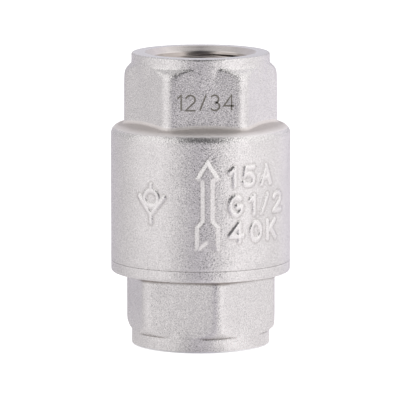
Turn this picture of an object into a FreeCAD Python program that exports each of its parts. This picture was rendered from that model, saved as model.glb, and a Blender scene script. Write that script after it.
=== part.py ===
import FreeCAD, Part
import math
import os
from FreeCAD import Vector

# Spring check valve, DN15 class, two-piece stainless casting with female G 1/2 ports.
# Millimetres. Z is the flow axis: the inlet face is z = 0, and water flows towards +Z.
# The -Y side carries the flow arrow and a flat of the upper hexagon.

UP = Vector(0, 0, 1)
ORIGIN = Vector(0, 0, 0)

# ---------------------------------------------------------------- castings
OVERALL_LENGTH = 58.0
BARREL_R = 17.75
HEX_FLATS = 27.0
HEX_CORNER_R = 2.8
COLLAR_R = 13.65
OUTLET_COLLAR_H = 2.1
INLET_COLLAR_H = 2.6
CORNER_CHAMFER = 1.5
SEAM_Z = 16.8
FLANGE_H = 2.25
SHOULDER_EDGE_Z = 43.28
SHOULDER_ROUND = 1.6
SHOULDER_SLOPE = 17.0
CAP_HEX_TURN = -20.6
EDGE_BREAK = 0.3

# ---------------------------------------------------------------- pipe ports, G 1/2
PORT_PITCH = 1.814
PORT_CREST_R = 18.631 / 2
PORT_ROOT_R = 20.955 / 2
PORT_MOUTH_R = 11.0
PORT_THREAD_L = 13.2
PORT_FLAT = 0.302
PORT_RELIEF_R = 10.65
PORT_RELIEF_L = 1.8
PORT_SLEEVE_R = 12.3

# ---------------------------------------------------------------- screwed joint, M28 x 1.5
JOINT_PITCH = 1.5
JOINT_PITCH_R = 13.513
FLANK = math.tan(math.radians(30))
FLANK_GAP = 0.0924
BODY_CREST_R = 13.188
BODY_ROOT_R = 14.06
CAP_CREST_R = 13.93
CAP_ROOT_R = 13.05
BODY_RELIEF_R = 14.25
BODY_RELIEF_Z = 25.4
CAP_THREAD_Z0, CAP_THREAD_Z1 = 18.2, 24.6
CAP_PILOT_R = 12.95
SPIGOT_CORE_R = 11.5

# ---------------------------------------------------------------- seat and flow path
SEAT_Z = 26.0
THROAT_R = 7.5
SEAT_LIP_R = 8.7
SEAT_MOAT_R = 11.0
SEAT_MOAT_DEPTH = 0.6
THROAT_CONE_Z = 17.4
GASKET_T = 1.2
CHAMBER_R = 11.8
LEDGE_Z = 41.3
LEDGE_R = 9.4

# ---------------------------------------------------------------- poppet
DISC_R = 9.4
DISC_Z0, DISC_Z1 = 26.3, 28.4
DISC_BOSS_R, DISC_BOSS_H = 4.0, 1.0
SEAL_R = 8.85
SEAL_T = 1.6
RETAINER_R, RETAINER_T = 6.6, 1.2
STEM_R = 2.5
STUD_R, STUD_ROOT_R, STUD_PITCH = 1.97, 1.62, 0.7
STUD_HOLE_R = 2.05
STUD_END_Z = 20.0
STEM_TOP_Z = 44.5
LOCK_WASHER_R, LOCK_WASHER_T = 3.5, 0.9
NUT_FLATS, NUT_H, NUT_HOLE_R = 7.0, 3.2, 2.0
CLIP_Z, CLIP_T, CLIP_GROOVE_R = 43.2, 0.6, 2.0

# ---------------------------------------------------------------- stem guide and spring
GUIDE_RING_R = 11.75
GUIDE_RING_BORE = 10.2
GUIDE_RING_Z = 38.45
HUB_R, HUB_BORE_R = 4.6, 3.5
HUB_Z0, HUB_Z1 = 38.2, 42.6
ARM_COUNT, ARM_W = 3, 2.4
BUSH_R, BUSH_BORE_R = 3.49, 2.54
BUSH_FLANGE_R, BUSH_FLANGE_T = 4.4, 0.4
SPRING_WASHER_R, SPRING_WASHER_T = 5.8, 0.5
CIRCLIP_T = 1.2
CIRCLIP_GROOVE_R, CIRCLIP_GROOVE_Z = 12.5, 37.1
SPRING_WIRE = 0.8
SPRING_MEAN_R = 4.75
SPRING_COILS = 6.0
POINTS_PER_COIL = 16

# ---------------------------------------------------------------- flow arrow, raised on the barrel
ARROW_TIP_Z, ARROW_HEAD_Z = 39.0, 34.7
ARROW_SHAFT_Z, ARROW_FLARE_Z = 27.0, 25.8
ARROW_TAIL_Z, ARROW_NOTCH_Z = 21.3, 23.2
ARROW_HEAD_W, ARROW_SHAFT_W, ARROW_TAIL_W = 2.1, 1.0, 2.1
ARROW_H = 0.5


def turned(points):
    """A solid of revolution about Z from its half section, given as (r, z) pairs."""
    corners = [Vector(r, 0, z) for r, z in points]
    section = Part.Face(Part.makePolygon(corners + [corners[0]]))
    return section.revolve(ORIGIN, UP, 360)


def ring(r_in, r_out, z0, z1):
    return turned([(r_in, z0), (r_out, z0), (r_out, z1), (r_in, z1)])


def rod(r, z0, z1):
    return Part.makeCylinder(r, z1 - z0, Vector(0, 0, z0))


def hexagon(flats, corner_r, z0, z1, turn):
    """A hexagonal prism whose rounded corners stand at turn plus 30 degrees from -Y."""
    corner = flats / 2 / math.cos(math.radians(30))
    angles = [math.radians(turn + 60 * k - 60) for k in range(7)]
    outline = Part.makePolygon([Vector(corner * math.cos(a), corner * math.sin(a), z0) for a in angles])
    prism = Part.Face(outline).extrude(Vector(0, 0, z1 - z0))
    if not corner_r:
        return prism
    upright = [e for e in prism.Edges if abs(e.tangentAt(e.FirstParameter).z) > 0.99]
    return prism.makeFillet(corner_r, upright)


def edges_at(shape, z, r=None):
    """The edges that lie wholly at height z, and at radius r if one is given."""
    found = []
    for edge in shape.Edges:
        box = edge.BoundBox
        if abs(box.ZMin - z) > 1e-4 or abs(box.ZMax - z) > 1e-4:
            continue
        if r is None or abs(max(box.XMax, -box.XMin) - r) < 1e-3:
            found.append(edge)
    return found


def helical_groove(r_air, r_root, half_air, half_root, pitch, z0, z1, start_deg):
    """A right-hand helical cutter with a trapezoid section, from height z0 to z1."""
    section = [(r_air, -half_air), (r_root, -half_root), (r_root, half_root), (r_air, half_air)]
    corners = [Vector(r, 0, z) for r, z in section]
    path = Part.makeHelix(pitch, z1 - z0, r_air)
    cutter = Part.Wire(path.Edges).makePipeShell([Part.makePolygon(corners + [corners[0]])], True, True)
    cutter.rotate(ORIGIN, UP, start_deg)
    cutter.translate(Vector(0, 0, z0))
    return cutter


def threaded(blank, cutter, expected):
    """The blank with a helical groove cut in it, refused unless about the expected volume went."""
    cut = blank.cut(cutter)
    removed = blank.Volume - cut.Volume
    if not cut.isValid() or abs(removed - expected) > 0.1 * expected:
        raise ValueError("the thread cut failed: %.1f mm3 went, not %.1f" % (removed, expected))
    return cut.Solids[0]


def groove_volume(r_wall, r_root, half_wall, half_root, pitch, length):
    """What a thread of this length should remove."""
    section = (half_wall + half_root) * abs(r_wall - r_root)
    return section * math.pi * (r_wall + r_root) * length / pitch


# ---------------------------------------------------------------- pipe port
def port_sleeve():
    """The wall of the outlet port with its G 1/2 thread, in four quarters, mouth at the top."""
    flank = (PORT_PITCH - 2 * PORT_FLAT) / 2
    slope = flank / (PORT_ROOT_R - PORT_CREST_R)
    chamfer = PORT_MOUTH_R - PORT_CREST_R
    z_end = OVERALL_LENGTH - PORT_THREAD_L
    blank = turned([
        (PORT_MOUTH_R, OVERALL_LENGTH),
        (PORT_CREST_R, OVERALL_LENGTH - chamfer),
        (PORT_CREST_R, z_end),
        (PORT_RELIEF_R, z_end),
        (PORT_RELIEF_R, z_end - PORT_RELIEF_L),
        (PORT_SLEEVE_R, z_end - PORT_RELIEF_L),
        (PORT_SLEEVE_R, OVERALL_LENGTH),
    ])
    half_wall = (PORT_PITCH - PORT_FLAT) / 2
    air = 0.3
    groove = helical_groove(
        PORT_CREST_R - air,
        PORT_ROOT_R,
        half_wall + air * slope,
        PORT_FLAT / 2,
        PORT_PITCH,
        z_end - 1.0,
        OVERALL_LENGTH + 1.9,
        90,
    )
    length = PORT_THREAD_L - 0.8 * chamfer
    expected = groove_volume(PORT_CREST_R, PORT_ROOT_R, half_wall, PORT_FLAT / 2, PORT_PITCH, length)
    sleeve = threaded(blank, groove, expected)
    quarters = []
    for k in range(4):
        corner = Part.makeBox(20, 20, 30, Vector(0, 0, OVERALL_LENGTH - 25))
        corner.rotate(ORIGIN, UP, 45 + 90 * k)
        quarters.append(sleeve.common(corner))
    return quarters


def flipped(shapes):
    """Copies turned end for end, so an outlet port becomes an inlet port."""
    copies = []
    for shape in shapes:
        copy = shape.copy()
        copy.rotate(Vector(0, 0, OVERALL_LENGTH / 2), Vector(1, 0, 0), 180)
        copies.append(copy)
    return copies


# ---------------------------------------------------------------- castings
def hex_end(z_flange, z_face, collar_h, turn):
    """The hexagon, its turned corners and its round collar, from the flange to the port face."""
    way = 1 if z_face > z_flange else -1
    z_collar = z_face - way * collar_h
    z_chamfer = z_collar - way * CORNER_CHAMFER
    low, high = sorted((z_flange, z_collar))
    prism = hexagon(HEX_FLATS, HEX_CORNER_R, low, high, turn)
    chamfer_r = COLLAR_R + CORNER_CHAMFER
    envelope = turned([
        (0, z_flange),
        (chamfer_r + 5, z_flange),
        (chamfer_r + 5, z_chamfer),
        (chamfer_r, z_chamfer),
        (COLLAR_R, z_collar),
        (0, z_collar),
    ])
    low, high = sorted((z_collar, z_face))
    collar = rod(COLLAR_R, low, high)
    face_edge = edges_at(collar, z_face)
    collar = collar.makeChamfer(EDGE_BREAK, face_edge)
    return prism.common(envelope).fuse(collar)


def flow_arrow():
    """The raised arrow on the -Y side and its twin on the +Y side, both pointing up."""
    right = [
        (0, ARROW_TIP_Z),
        (ARROW_HEAD_W, ARROW_HEAD_Z),
        (ARROW_SHAFT_W, ARROW_HEAD_Z),
        (ARROW_SHAFT_W, ARROW_SHAFT_Z),
        (ARROW_TAIL_W, ARROW_FLARE_Z),
        (ARROW_TAIL_W, ARROW_TAIL_Z),
        (0, ARROW_NOTCH_Z),
    ]
    outline = right + [(-x, z) for x, z in reversed(right[1:-1])]
    corners = [Vector(x, 0, z) for x, z in outline]
    plate = Part.Face(Part.makePolygon(corners + [corners[0]]))
    prism = plate.extrude(Vector(0, -2 * BARREL_R, 0))
    skin = ring(BARREL_R - 1.0, BARREL_R + ARROW_H, ARROW_TAIL_Z - 1, ARROW_TIP_Z + 1)
    front = prism.common(skin)
    back = front.copy()
    back.rotate(ORIGIN, UP, 180)
    return front.fuse(back)


def valve_body():
    rise = (BARREL_R - LEDGE_R) * math.tan(math.radians(SHOULDER_SLOPE))
    barrel = turned([
        (0, SEAM_Z),
        (BARREL_R, SEAM_Z),
        (BARREL_R, SHOULDER_EDGE_Z),
        (LEDGE_R, SHOULDER_EDGE_Z + rise),
        (0, SHOULDER_EDGE_Z + rise),
    ])
    barrel = barrel.makeFillet(SHOULDER_ROUND, edges_at(barrel, SHOULDER_EDGE_Z, BARREL_R))
    barrel = barrel.makeChamfer(0.15, edges_at(barrel, SEAM_Z))
    solid = barrel.fuse(hex_end(SHOULDER_EDGE_Z, OVERALL_LENGTH, OUTLET_COLLAR_H, 0)).fuse(flow_arrow())
    entry = BODY_RELIEF_R - BODY_CREST_R
    port_floor = OVERALL_LENGTH - PORT_THREAD_L - PORT_RELIEF_L
    hollow = turned(
        [(0, SEAM_Z), (BODY_RELIEF_R, SEAM_Z), (BODY_CREST_R, SEAM_Z + entry)]
        + [(BODY_CREST_R, BODY_RELIEF_Z), (BODY_RELIEF_R, BODY_RELIEF_Z)]
        + [(BODY_RELIEF_R, SEAT_Z + GASKET_T), (CHAMBER_R, SEAT_Z + GASKET_T)]
        + [(CHAMBER_R, CIRCLIP_GROOVE_Z), (CIRCLIP_GROOVE_R, CIRCLIP_GROOVE_Z)]
        + [(CIRCLIP_GROOVE_R, CIRCLIP_GROOVE_Z + CIRCLIP_T + 0.1)]
        + [(CHAMBER_R, CIRCLIP_GROOVE_Z + CIRCLIP_T + 0.1), (CHAMBER_R, LEDGE_Z)]
        + [(LEDGE_R, LEDGE_Z), (LEDGE_R, port_floor)]
        + [(PORT_SLEEVE_R, port_floor), (PORT_SLEEVE_R, OVERALL_LENGTH), (0, OVERALL_LENGTH)]
    )
    solid = solid.cut(hollow)
    half_pitch_line = (JOINT_PITCH / 2 + FLANK_GAP) / 2
    r_air = BODY_CREST_R - 0.3
    half_wall = half_pitch_line + (JOINT_PITCH_R - BODY_CREST_R) * FLANK
    half_root = half_pitch_line - (BODY_ROOT_R - JOINT_PITCH_R) * FLANK
    groove = helical_groove(
        r_air,
        BODY_ROOT_R,
        half_pitch_line + (JOINT_PITCH_R - r_air) * FLANK,
        half_root,
        JOINT_PITCH,
        SEAM_Z - JOINT_PITCH / 2,
        BODY_RELIEF_Z + JOINT_PITCH / 2,
        0,
    )
    length = BODY_RELIEF_Z - SEAM_Z - 0.7 * entry
    expected = groove_volume(BODY_CREST_R, BODY_ROOT_R, half_wall, half_root, JOINT_PITCH, length)
    solid = threaded(solid, groove, expected)
    return solid.fuse(port_sleeve())


def inlet_cap():
    flange_z = SEAM_Z - FLANGE_H
    flange = rod(BARREL_R, flange_z, SEAM_Z)
    flange = flange.makeFillet(0.5, edges_at(flange, flange_z))
    flange = flange.makeChamfer(0.15, edges_at(flange, SEAM_Z))
    thread = ring(SPIGOT_CORE_R, CAP_CREST_R, CAP_THREAD_Z0, CAP_THREAD_Z1)
    thread = thread.fuse(ring(SPIGOT_CORE_R, CAP_PILOT_R, SEAM_Z, SEAT_Z)).removeSplitter()
    half_pitch_line = (JOINT_PITCH / 2 + FLANK_GAP) / 2
    r_air = CAP_CREST_R + 0.3
    half_wall = half_pitch_line + (CAP_CREST_R - JOINT_PITCH_R) * FLANK
    half_root = half_pitch_line - (JOINT_PITCH_R - CAP_ROOT_R) * FLANK
    groove = helical_groove(
        r_air,
        CAP_ROOT_R,
        half_pitch_line + (r_air - JOINT_PITCH_R) * FLANK,
        half_root,
        JOINT_PITCH,
        SEAM_Z - 0.75 * JOINT_PITCH,
        CAP_THREAD_Z1 + 1.0,
        90,
    )
    length = CAP_THREAD_Z1 - CAP_THREAD_Z0
    expected = groove_volume(CAP_CREST_R, CAP_ROOT_R, half_wall, half_root, JOINT_PITCH, length)
    thread = threaded(thread, groove, expected)
    lead = CAP_CREST_R - CAP_PILOT_R
    thread = thread.common(turned([
        (0, SEAM_Z),
        (CAP_PILOT_R, SEAM_Z),
        (CAP_PILOT_R, CAP_THREAD_Z0 - 0.3),
        (CAP_CREST_R + 0.3, CAP_THREAD_Z0 + lead),
        (CAP_CREST_R + 0.3, CAP_THREAD_Z1 - lead - 0.3),
        (CAP_PILOT_R, CAP_THREAD_Z1),
        (CAP_PILOT_R, SEAT_Z),
        (0, SEAT_Z),
    ]))
    port_floor = PORT_THREAD_L + PORT_RELIEF_L
    hollow = turned(
        [(0, 0), (PORT_SLEEVE_R, 0), (PORT_SLEEVE_R, port_floor), (PORT_CREST_R, port_floor)]
        + [(THROAT_R, THROAT_CONE_Z), (THROAT_R, SEAT_Z - 0.2), (THROAT_R + 0.2, SEAT_Z), (0, SEAT_Z)]
    )
    moat = ring(SEAT_LIP_R, SEAT_MOAT_R, SEAT_Z - SEAT_MOAT_DEPTH, SEAT_Z)
    core = rod(SPIGOT_CORE_R, flange_z, SEAT_Z)
    solid = hex_end(flange_z, 0, INLET_COLLAR_H, CAP_HEX_TURN).fuse(flange).fuse(core).cut(hollow).cut(moat)
    return solid.fuse([thread] + flipped(port_sleeve()))


def cap_gasket():
    return ring(SEAT_MOAT_R, CAP_PILOT_R, SEAT_Z, SEAT_Z + GASKET_T)


# ---------------------------------------------------------------- poppet
def poppet_disc():
    recess_top = SEAT_Z + SEAL_T
    boss_z = DISC_Z1 + DISC_BOSS_H
    return turned(
        [(STUD_HOLE_R, recess_top), (SEAL_R + 0.05, recess_top), (SEAL_R + 0.05, DISC_Z0)]
        + [(DISC_R - 0.15, DISC_Z0), (DISC_R, DISC_Z0 + 0.15), (DISC_R, DISC_Z1 - 0.5)]
        + [(DISC_R - 0.5, DISC_Z1), (DISC_BOSS_R, DISC_Z1), (DISC_BOSS_R, boss_z - 0.3)]
        + [(DISC_BOSS_R - 0.3, boss_z), (STUD_HOLE_R, boss_z)]
    )


def poppet_stem():
    """A turned stem: a running length above the disc and a threaded stud below it."""
    shoulder = DISC_Z1 + DISC_BOSS_H
    section = [(0, STUD_END_Z), (STUD_ROOT_R, STUD_END_Z)]
    z = STUD_END_Z + 0.3
    while z < SEAT_Z - RETAINER_T:
        section.append((STUD_ROOT_R, z))
        section.append((STUD_R, z + 0.25))
        section.append((STUD_R, z + 0.35))
        section.append((STUD_ROOT_R, z + 0.6))
        z += STUD_PITCH
    section += [(STUD_R, z), (STUD_R, shoulder), (STEM_R, shoulder)]
    section += [(STEM_R, CLIP_Z), (CLIP_GROOVE_R, CLIP_Z), (CLIP_GROOVE_R, CLIP_Z + CLIP_T + 0.04)]
    section += [(STEM_R, CLIP_Z + CLIP_T + 0.04), (STEM_R, STEM_TOP_Z - 0.4)]
    section += [(STEM_R - 0.4, STEM_TOP_Z), (0, STEM_TOP_Z)]
    return turned(section)


def seat_seal():
    return ring(STUD_HOLE_R, SEAL_R, SEAT_Z, SEAT_Z + SEAL_T)


def seal_retainer():
    z0 = SEAT_Z - RETAINER_T
    return turned(
        [(STUD_HOLE_R, z0), (RETAINER_R - 0.9, z0), (RETAINER_R, z0 + 0.6)]
        + [(RETAINER_R, SEAT_Z), (STUD_HOLE_R, SEAT_Z)]
    )


def lock_washer():
    """A split spring washer, with its slanting gap."""
    z1 = SEAT_Z - RETAINER_T
    z0 = z1 - LOCK_WASHER_T
    washer = ring(STUD_HOLE_R, LOCK_WASHER_R, z0, z1)
    gap = Part.makeBox(LOCK_WASHER_R + 1, 0.5, 3 * LOCK_WASHER_T, Vector(0, -0.25, -1.5 * LOCK_WASHER_T))
    gap.rotate(ORIGIN, Vector(1, 0, 0), 20)
    gap.translate(Vector(0, 0, (z0 + z1) / 2))
    return washer.cut(gap)


def retainer_nut():
    z1 = SEAT_Z - RETAINER_T - LOCK_WASHER_T
    z0 = z1 - NUT_H
    corner = NUT_FLATS / 2 / math.cos(math.radians(30))
    drop = (corner - NUT_FLATS / 2 + 0.1) * math.tan(math.radians(30))
    rounded = turned(
        [(0, z0), (NUT_FLATS / 2 - 0.1, z0), (corner, z0 + drop)]
        + [(corner, z1 - drop), (NUT_FLATS / 2 - 0.1, z1), (0, z1)]
    )
    return hexagon(NUT_FLATS, 0, z0, z1, 11).common(rounded).cut(rod(NUT_HOLE_R, z0 - 1, z1 + 1))


def stem_clip():
    """An E-clip in the stem's groove: three inner lands and an open mouth on +X."""
    outer_r = 4.3
    plate = ring(0.0, outer_r, CLIP_Z, CLIP_Z + CLIP_T)
    hollow = rod(2.9, CLIP_Z - 1, CLIP_Z + 2)
    frame = plate.cut(hollow)
    lands = [Part.makeBox(1.1, 1.2, CLIP_T, Vector(CLIP_GROOVE_R, -0.6, CLIP_Z)) for _ in range(3)]
    for land, angle in zip(lands, (180, 68, -68), strict=True):
        land.rotate(ORIGIN, UP, angle)
        frame = frame.fuse(land)
    mouth = Part.makeBox(outer_r + 1, 3.3, 3, Vector(0, -1.65, CLIP_Z - 1))
    clip = frame.cut(mouth).cut(rod(CLIP_GROOVE_R + 0.02, CLIP_Z - 1, CLIP_Z + 2))
    return clip.removeSplitter()


# ---------------------------------------------------------------- guide and spring
def stem_guide():
    """A spider: an outer ring under the body's ledge, three arms and a hub for the bush."""
    guide = ring(GUIDE_RING_BORE, GUIDE_RING_R, GUIDE_RING_Z, LEDGE_Z)
    guide = guide.fuse(rod(HUB_R, HUB_Z0, HUB_Z1))
    for k in range(ARM_COUNT):
        reach = (GUIDE_RING_BORE + GUIDE_RING_R) / 2
        corner = Vector(0, -ARM_W / 2, GUIDE_RING_Z + 0.2)
        arm = Part.makeBox(reach, ARM_W, LEDGE_Z - GUIDE_RING_Z - 0.4, corner)
        arm.rotate(ORIGIN, UP, 90 + k * 360 / ARM_COUNT)
        guide = guide.fuse(arm)
    return guide.cut(rod(HUB_BORE_R, HUB_Z0 - 1, HUB_Z1 + 1)).removeSplitter()


def guide_bush():
    return turned(
        [(BUSH_BORE_R, HUB_Z0 - BUSH_FLANGE_T), (BUSH_FLANGE_R, HUB_Z0 - BUSH_FLANGE_T)]
        + [(BUSH_FLANGE_R, HUB_Z0), (BUSH_R, HUB_Z0), (BUSH_R, HUB_Z1), (BUSH_BORE_R, HUB_Z1)]
    )


def spring_washer():
    z1 = HUB_Z0 - BUSH_FLANGE_T
    return ring(STEM_R + 0.15, SPRING_WASHER_R, z1 - SPRING_WASHER_T, z1)


def guide_circlip():
    """An internal retaining ring with two eared ends, gap on +X."""
    z0 = CIRCLIP_GROOVE_Z + 0.05
    outer_r = CIRCLIP_GROOVE_R - 0.05
    clip = ring(10.9, outer_r, z0, z0 + CIRCLIP_T)
    clip = clip.cut(Part.makeBox(20, 5.6, 4, Vector(0, -2.8, z0 - 1)))
    for side in (-1, 1):
        ear = Part.makeCylinder(1.2, CIRCLIP_T, Vector(10.35, side * 3.9, z0))
        clip = clip.fuse(ear).cut(Part.makeCylinder(0.6, 4, Vector(10.2, side * 3.9, z0 - 1)))
    return clip.removeSplitter()


def return_spring():
    """A compression spring with closed, ground ends, at its length in the shut valve."""
    z0, z1 = DISC_Z1, HUB_Z0 - BUSH_FLANGE_T - SPRING_WASHER_T
    closed = 1.02 * SPRING_WIRE
    active_rise = (z1 - z0) - SPRING_WIRE / 2 - 2 * closed

    def height(turn):
        """Centre-line height after so many turns: one closed coil, the active ones, one closed."""
        start = z0 + SPRING_WIRE / 4
        if turn <= 1:
            return start + closed * turn
        if turn >= SPRING_COILS - 1:
            return start + closed + active_rise + closed * (turn - SPRING_COILS + 1)
        return start + closed + active_rise * (turn - 1) / (SPRING_COILS - 2)

    points = []
    for k in range(int(SPRING_COILS * POINTS_PER_COIL) + 1):
        turn = k / POINTS_PER_COIL
        angle = 2 * math.pi * turn
        x, y = SPRING_MEAN_R * math.cos(angle), SPRING_MEAN_R * math.sin(angle)
        points.append(Vector(x, y, height(turn)))
    line = Part.BSplineCurve()
    line.interpolate(points)
    start = line.tangent(line.FirstParameter)[0]
    section = Part.Wire(Part.makeCircle(SPRING_WIRE / 2 * 0.98, points[0], start))
    wire = Part.Wire(line.toShape()).makePipeShell([section], True, True)
    return wire.common(rod(SPRING_MEAN_R + 2, z0, z1))


PARTS = {
    "valve_body": valve_body,
    "inlet_cap": inlet_cap,
    "cap_gasket": cap_gasket,
    "poppet_disc": poppet_disc,
    "poppet_stem": poppet_stem,
    "seat_seal": seat_seal,
    "seal_retainer": seal_retainer,
    "lock_washer": lock_washer,
    "retainer_nut": retainer_nut,
    "stem_clip": stem_clip,
    "stem_guide": stem_guide,
    "guide_bush": guide_bush,
    "spring_washer": spring_washer,
    "guide_circlip": guide_circlip,
    "return_spring": return_spring,
}


def main():
    os.makedirs("parts", exist_ok=True)
    for name, make in PARTS.items():
        shape = make()
        print(name, "valid", shape.isValid(), "solids", len(shape.Solids), "mm3 %.1f" % shape.Volume)
        shape.exportStep(os.path.join("parts", name + ".step"))


main()
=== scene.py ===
"""Looks of a half inch spring check valve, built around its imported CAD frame.

Lengths are in millimetres until a mesh or a light is made. Angles round the valve run from the
front, the -Y side with the flow arrow, towards +X.
"""

import math

import bpy
import numpy as np
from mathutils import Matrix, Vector


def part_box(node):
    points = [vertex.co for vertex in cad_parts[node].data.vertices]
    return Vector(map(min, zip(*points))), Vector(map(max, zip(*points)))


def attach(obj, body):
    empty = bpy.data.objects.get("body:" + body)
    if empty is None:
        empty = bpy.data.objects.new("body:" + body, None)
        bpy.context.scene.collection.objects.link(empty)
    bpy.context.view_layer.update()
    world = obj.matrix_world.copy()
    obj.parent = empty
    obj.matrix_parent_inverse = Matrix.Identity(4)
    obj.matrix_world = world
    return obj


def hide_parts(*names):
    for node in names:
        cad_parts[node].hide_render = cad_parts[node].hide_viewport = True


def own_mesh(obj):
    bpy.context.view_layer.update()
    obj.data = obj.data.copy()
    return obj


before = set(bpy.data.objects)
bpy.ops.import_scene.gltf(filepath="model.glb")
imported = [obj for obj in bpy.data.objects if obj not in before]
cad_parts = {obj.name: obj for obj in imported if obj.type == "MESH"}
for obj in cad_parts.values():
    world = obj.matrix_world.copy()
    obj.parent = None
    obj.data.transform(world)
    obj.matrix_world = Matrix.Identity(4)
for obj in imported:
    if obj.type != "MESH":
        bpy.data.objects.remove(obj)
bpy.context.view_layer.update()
MM = 0.001


def box_mm(node):
    """A CAD node's lowest and highest corners, in millimetres."""
    low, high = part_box(node)
    return np.array(low) / MM, np.array(high) / MM


# ---------------------------------------------------------------- sizes
BODY_LOW, BODY_HIGH = box_mm("valve_body")
CAP_HIGH = box_mm("inlet_cap")[1]
SPRING_LOW, SPRING_HIGH = box_mm("return_spring")
TOP = BODY_HIGH[2]
SEAM = BODY_LOW[2]
SEAT = CAP_HIGH[2]
BARREL_R = CAP_HIGH[0]
RELIEF = BODY_HIGH[1] - BARREL_R

# the slight unevenness of a cast wall, at most
UNEVEN = 0.03
HEX_APOTHEM = 13.5
HEX_CORNER_R = 2.8
COLLAR_R = 13.65
# How each hexagon's corners turn away to its round collar. collar is the collar's height. The turn's length
# grows by lean per millimetre that the wall stands proud of the collar, and soft is the least that counts as
# proud. recess is added where the wall lies inside the collar. The turn starts over the height hollow, and
# ends more sharply as blend grows. crease is the depth of the crease under the collar, darkened as painted
# shade.
OUTLET_END = {
    "collar": 2.15,
    "lean": 0.8,
    "soft": 0.05,
    "hollow": 0.2,
    "blend": 3.0,
    "recess": 4.5,
    "crease": 0.0,
}
INLET_END = {
    "collar": 2.8,
    "lean": 0.7,
    "soft": 0.3,
    "hollow": 0.03,
    "blend": 4.0,
    "recess": 1.6,
    "crease": 0.045,
}
RIM_ROUND = 0.35
SHOULDER_START = 41.95
SHOULDER_ROUND = 1.8
SHOULDER_SLOPE = 17
HEX_FILLET = 0.7
HEX_FOOT = 44.72
CAP_HEX_TURN = math.radians(-20.6)
FLANGE_BOTTOM = SEAM - 2.25
# the chamfered mouth of a port, and the cone below it that leads into the thread
MOUTH_R = 11.0
MOUTH_DEPTH = 1.0
LEAD_SLOPE = 0.5

# threads: half_wall and half_root are half the groove's width at its crest and at its root
PORT = {"pitch": 1.814, "crest": 9.3155, "root": 10.4775, "half_wall": 0.756, "half_root": 0.151}
PORT_LENGTH = 13.2
PORT_RELIEF_R = 10.65
PORT_RELIEF_LENGTH = 1.8
BODY_THREAD = {"pitch": 1.5, "crest": 13.188, "root": 14.06, "half_wall": 0.609, "half_root": 0.105}
CAP_THREAD = {"pitch": 1.5, "crest": 13.93, "root": 13.05, "half_wall": 0.662, "half_root": 0.154}
# The height at which each thread's groove passes the front. The joint's two threads are half a pitch apart,
# so that they mesh.
OUTLET_THREAD_START = 43.8 - PORT["pitch"] / 2
INLET_THREAD_START = 14.2
BODY_THREAD_START = SEAM - 0.75 * BODY_THREAD["pitch"]
CAP_THREAD_START = BODY_THREAD_START - 0.5 * CAP_THREAD["pitch"]
# the height between two loops of a threaded wall
THREAD_ROW = 0.125

# the points round an outside and round a bore, and the steepest turn between faces that is shaded smooth
OUTSIDE, INSIDE = 288, 128
SHARP = 33

# the finishes of a casting, in the order of its material slots
CAST, TURNED, BORED, THREADED, LEDGE = 0, 1, 2, 3, 4


# ---------------------------------------------------------------- studio
def placed(name, data):
    """An object in the scene for a mesh, a light or a camera."""
    made = bpy.data.objects.new(name, data)
    bpy.context.scene.collection.objects.link(made)
    return made


def aimed(made, place, aim):
    """Puts a light or a camera at a place and turns it to face aim, both in metres."""
    made.location = place
    made.rotation_mode = "QUATERNION"
    made.rotation_quaternion = (Vector(aim) - made.location).to_track_quat("-Z", "Y")


def camera():
    """A long lens, a little above the valve and a little to its left."""
    turn, away, height = math.radians(-4.4), 0.977, 0.1685
    data = bpy.data.cameras.new("camera")
    data.lens = 448.9
    data.sensor_width = 36
    data.clip_start, data.clip_end = 0.01, 20
    made = placed("camera", data)
    aimed(made, (math.sin(turn) * away, -math.cos(turn) * away, height), (-0.00012, 0, 0.02849))
    bpy.context.scene.camera = made


def softbox(name, place, power):
    """A rectangular studio light that faces the valve."""
    data = bpy.data.lights.new(name, "AREA")
    data.shape = "RECTANGLE"
    data.size, data.size_y = 0.8, 0.9
    data.energy = power
    data.color = (1.0, 0.98, 0.97)
    aimed(placed(name, data), place, (0, 0, 0.03))


# tints of the room, and its brightness near the valve and further away, by the bearing in degrees
PALE, COOL = (1.0, 0.982, 0.984), (1.0, 0.968, 1.025)
ROOM = [
    (-180, 0.74, 0.74, COOL),
    (-166, 0.60, 0.60, COOL),
    (-150, 0.62, 0.64, COOL),
    (-120, 0.68, 0.61, PALE),
    (-88, 0.80, 0.76, PALE),
    (-66, 0.84, 0.76, PALE),
    (-54, 0.86, 0.89, PALE),
    (-42, 0.84, 0.76, PALE),
    (-28, 0.71, 0.67, PALE),
    (-12, 0.60, 0.52, COOL),
    (3, 0.70, 0.41, COOL),
    (14, 0.85, 0.64, PALE),
    (32, 1.02, 0.92, PALE),
    (46, 1.04, 0.94, PALE),
    (64, 0.91, 0.85, PALE),
    (84, 0.88, 0.76, PALE),
    (112, 0.89, 0.90, PALE),
    (130, 0.84, 0.87, COOL),
    (156, 0.71, 0.73, COOL),
    (166, 0.64, 0.64, COOL),
    (180, 0.74, 0.74, COOL),
]
NEAR, FAR = 1, 2
# the valve's soft shadow on the floor, as its reflections show it, by the distance from its axis in metres
FLOOR_SHADE = [(0.0, 1.0), (0.032, 1.0), (0.05, 0.91), (0.09, 0.92), (0.13, 1.0)]
# how bright the opening in front of the valve is, by how far a direction points up, sideways and forwards
OPENING_SILL = [(0.0, 1.0), (0.04, 0.9), (0.14, 0.27)]
OPENING_SIDE = [(0.34, 0.0), (0.56, 1.0)]
OPENING_TOP = [(0.03, 1.0), (0.22, 0.0)]


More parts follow.
